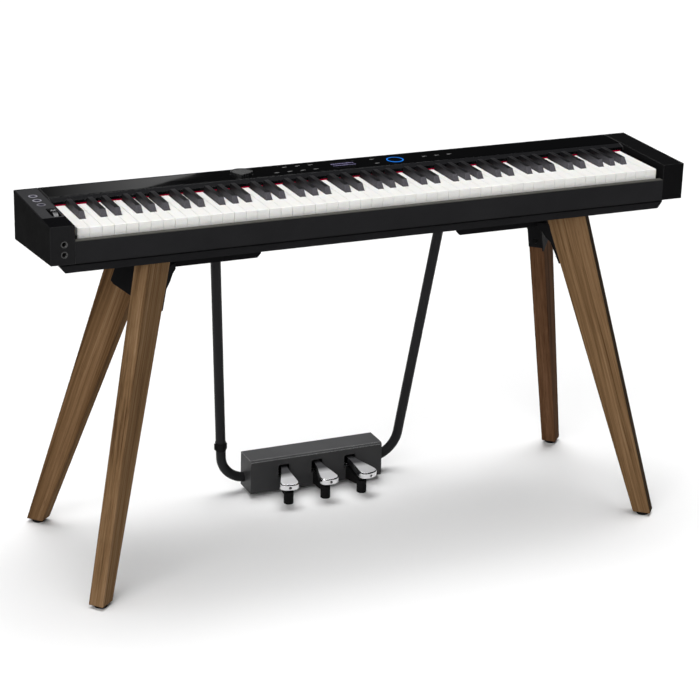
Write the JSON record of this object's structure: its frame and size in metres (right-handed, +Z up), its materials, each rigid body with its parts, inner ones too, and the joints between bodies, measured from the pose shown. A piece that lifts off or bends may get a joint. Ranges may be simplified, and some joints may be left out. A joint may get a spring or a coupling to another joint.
{
  "type": "digital piano on stand",
  "caption": "Slim full-size digital piano with glossy black top panel on splayed walnut legs, with a bent-tube frame that carries the pedal unit.",
  "frame": {"origin": "middle of the bounding box on the floor", "axes": "+Z up; -Y towards the player, so the keyboard faces -Y; +X to the right as the player sees it"},
  "size_m": [1.34, 0.4619, 0.7602],
  "materials": {
    "case_black": "satin",
    "plate_black": "fine texture",
    "ring_light": "frosted light ring",
    "jack_black": "matt",
    "panel_gloss": "high gloss",
    "display": "tinted window",
    "led_blue": "frosted light ring",
    "felt_red": "felt",
    "steel": "zinc plated",
    "board_green": "printed board",
    "speaker_black": "matt",
    "screw_black": "black zinc",
    "steel_black": "powder coat",
    "clip_black": "matt",
    "box_black": "powder coat",
    "foot_rubber": "matt",
    "glide_black": "matt",
    "knob_black": "satin gloss",
    "wheel": "satin with bright rim",
    "button_black": "satin",
    "walnut": "oiled walnut",
    "key_white": "satin",
    "key_black": "fine texture",
    "pedal_chrome": "satin top, polished rim"
  },
  "bodies": {
    "piano_and_stand": {"left_end_block": "case_black", "right_end_block": "case_black", "left_control_plate": "plate_black", "button_rings": "ring_light", "headphone_jacks": "jack_black", "front_rail": "case_black", "bottom_case": "case_black", "rear_cover": "case_black", "rear_sockets": "jack_black", "top_panel": "panel_gloss", "display_window": "display", "led_ring": "led_blue", "felt_strip": "felt_red", "key_rod": "steel", "key_frame": "steel", "main_board": "board_green", "speakers": "speaker_black", "stand_screws": "screw_black", "leg_front_right": "walnut", "leg_front_left": "walnut", "leg_rear_right": "walnut", "leg_rear_left": "walnut", "glide_front_right": "glide_black", "glide_front_left": "glide_black", "glide_rear_right": "glide_black", "glide_rear_left": "glide_black", "leg_bracket_right": "steel_black", "leg_bracket_left": "steel_black", "leg_bolts": "screw_black", "pedal_arm_right": "steel_black", "pedal_arm_left": "steel_black", "tube_clip": "clip_black", "pedal_box_cover": "box_black", "pedal_box_base": "steel_black", "support_arms": "foot_rubber", "pedal_feet": "foot_rubber", "pedal_spring_left": "steel", "pedal_spring_middle": "steel", "pedal_spring_right": "steel"},
    "keys_c": {"keys_c": "key_white"},
    "keys_c_sharp": {"keys_c_sharp": "key_black"},
    "keys_d": {"keys_d": "key_white"},
    "keys_d_sharp": {"keys_d_sharp": "key_black"},
    "keys_e": {"keys_e": "key_white"},
    "keys_f": {"keys_f": "key_white"},
    "keys_f_sharp": {"keys_f_sharp": "key_black"},
    "keys_g": {"keys_g": "key_white"},
    "keys_g_sharp": {"keys_g_sharp": "key_black"},
    "keys_a": {"keys_a": "key_white"},
    "keys_a_sharp": {"keys_a_sharp": "key_black"},
    "keys_b": {"keys_b": "key_white"},
    "volume_knob": {"volume_knob": "knob_black"},
    "pitch_bend_wheel": {"pitch_bend_wheel": "wheel"},
    "control_button_1": {"control_button_1": "button_black"},
    "control_button_2": {"control_button_2": "button_black"},
    "control_button_3": {"control_button_3": "button_black"},
    "pedal_left": {"pedal_left": "pedal_chrome"},
    "pedal_middle": {"pedal_middle": "pedal_chrome"},
    "pedal_right": {"pedal_right": "pedal_chrome"}
  },
  "joints": [
    {"name": "keys_c_press", "type": "hinge", "parent": "piano_and_stand", "child": "keys_c", "pos_m": [0, 0.0738, 0.728], "axis": [1, 0, 0], "range_deg": [0, 2.6], "stiffness_Nm_per_rad": 6, "springref_deg": -17.19},
    {"name": "keys_c_sharp_press", "type": "hinge", "parent": "piano_and_stand", "child": "keys_c_sharp", "pos_m": [0, 0.0738, 0.728], "axis": [1, 0, 0], "range_deg": [0, 2.6], "stiffness_Nm_per_rad": 6, "springref_deg": -17.19},
    {"name": "keys_d_press", "type": "hinge", "parent": "piano_and_stand", "child": "keys_d", "pos_m": [0, 0.0738, 0.728], "axis": [1, 0, 0], "range_deg": [0, 2.6], "stiffness_Nm_per_rad": 6, "springref_deg": -17.19},
    {"name": "keys_d_sharp_press", "type": "hinge", "parent": "piano_and_stand", "child": "keys_d_sharp", "pos_m": [0, 0.0738, 0.728], "axis": [1, 0, 0], "range_deg": [0, 2.6], "stiffness_Nm_per_rad": 6, "springref_deg": -17.19},
    {"name": "keys_e_press", "type": "hinge", "parent": "piano_and_stand", "child": "keys_e", "pos_m": [0, 0.0738, 0.728], "axis": [1, 0, 0], "range_deg": [0, 2.6], "stiffness_Nm_per_rad": 6, "springref_deg": -17.19},
    {"name": "keys_f_press", "type": "hinge", "parent": "piano_and_stand", "child": "keys_f", "pos_m": [0, 0.0738, 0.728], "axis": [1, 0, 0], "range_deg": [0, 2.6], "stiffness_Nm_per_rad": 6, "springref_deg": -17.19},
    {"name": "keys_f_sharp_press", "type": "hinge", "parent": "piano_and_stand", "child": "keys_f_sharp", "pos_m": [0, 0.0738, 0.728], "axis": [1, 0, 0], "range_deg": [0, 2.6], "stiffness_Nm_per_rad": 6, "springref_deg": -17.19},
    {"name": "keys_g_press", "type": "hinge", "parent": "piano_and_stand", "child": "keys_g", "pos_m": [0, 0.0738, 0.728], "axis": [1, 0, 0], "range_deg": [0, 2.6], "stiffness_Nm_per_rad": 6, "springref_deg": -17.19},
    {"name": "keys_g_sharp_press", "type": "hinge", "parent": "piano_and_stand", "child": "keys_g_sharp", "pos_m": [0, 0.0738, 0.728], "axis": [1, 0, 0], "range_deg": [0, 2.6], "stiffness_Nm_per_rad": 6, "springref_deg": -17.19},
    {"name": "keys_a_press", "type": "hinge", "parent": "piano_and_stand", "child": "keys_a", "pos_m": [0, 0.0738, 0.728], "axis": [1, 0, 0], "range_deg": [0, 2.6], "stiffness_Nm_per_rad": 6, "springref_deg": -17.19},
    {"name": "keys_a_sharp_press", "type": "hinge", "parent": "piano_and_stand", "child": "keys_a_sharp", "pos_m": [0, 0.0738, 0.728], "axis": [1, 0, 0], "range_deg": [0, 2.6], "stiffness_Nm_per_rad": 6, "springref_deg": -17.19},
    {"name": "keys_b_press", "type": "hinge", "parent": "piano_and_stand", "child": "keys_b", "pos_m": [0, 0.0738, 0.728], "axis": [1, 0, 0], "range_deg": [0, 2.6], "stiffness_Nm_per_rad": 6, "springref_deg": -17.19},
    {"name": "volume_knob_turn", "type": "hinge", "parent": "piano_and_stand", "child": "volume_knob", "pos_m": [-0.2185, 0.0533, 0.755], "axis": [0, 0, -1], "range_deg": [-150, 150]},
    {"name": "pitch_bend_turn", "type": "hinge", "parent": "piano_and_stand", "child": "pitch_bend_wheel", "pos_m": [-0.637, -0.0702, 0.728], "axis": [-1, 0, 0], "range_deg": [-40, 40], "stiffness_Nm_per_rad": 0.05},
    {"name": "control_button_1_press", "type": "slide", "parent": "piano_and_stand", "child": "control_button_1", "axis": [0, 0, -1], "range_m": [0, 0.0012], "stiffness_N_per_m": 500, "springref_m": -0.001},
    {"name": "control_button_2_press", "type": "slide", "parent": "piano_and_stand", "child": "control_button_2", "axis": [0, 0, -1], "range_m": [0, 0.0012], "stiffness_N_per_m": 500, "springref_m": -0.001},
    {"name": "control_button_3_press", "type": "slide", "parent": "piano_and_stand", "child": "control_button_3", "axis": [0, 0, -1], "range_m": [0, 0.0012], "stiffness_N_per_m": 500, "springref_m": -0.001},
    {"name": "pedal_left_press", "type": "hinge", "parent": "piano_and_stand", "child": "pedal_left", "pos_m": [0, 0.1968, 0.058], "axis": [1, 0, 0], "range_deg": [0, 7], "stiffness_Nm_per_rad": 12, "springref_deg": -8.59, "deforming": ["pedal_spring_left"]},
    {"name": "pedal_middle_press", "type": "hinge", "parent": "piano_and_stand", "child": "pedal_middle", "pos_m": [0, 0.1968, 0.058], "axis": [1, 0, 0], "range_deg": [0, 7], "stiffness_Nm_per_rad": 12, "springref_deg": -8.59, "deforming": ["pedal_spring_middle"]},
    {"name": "pedal_right_press", "type": "hinge", "parent": "piano_and_stand", "child": "pedal_right", "pos_m": [0, 0.1968, 0.058], "axis": [1, 0, 0], "range_deg": [0, 7], "stiffness_Nm_per_rad": 12, "springref_deg": -8.59, "deforming": ["pedal_spring_right"]}
  ]
}
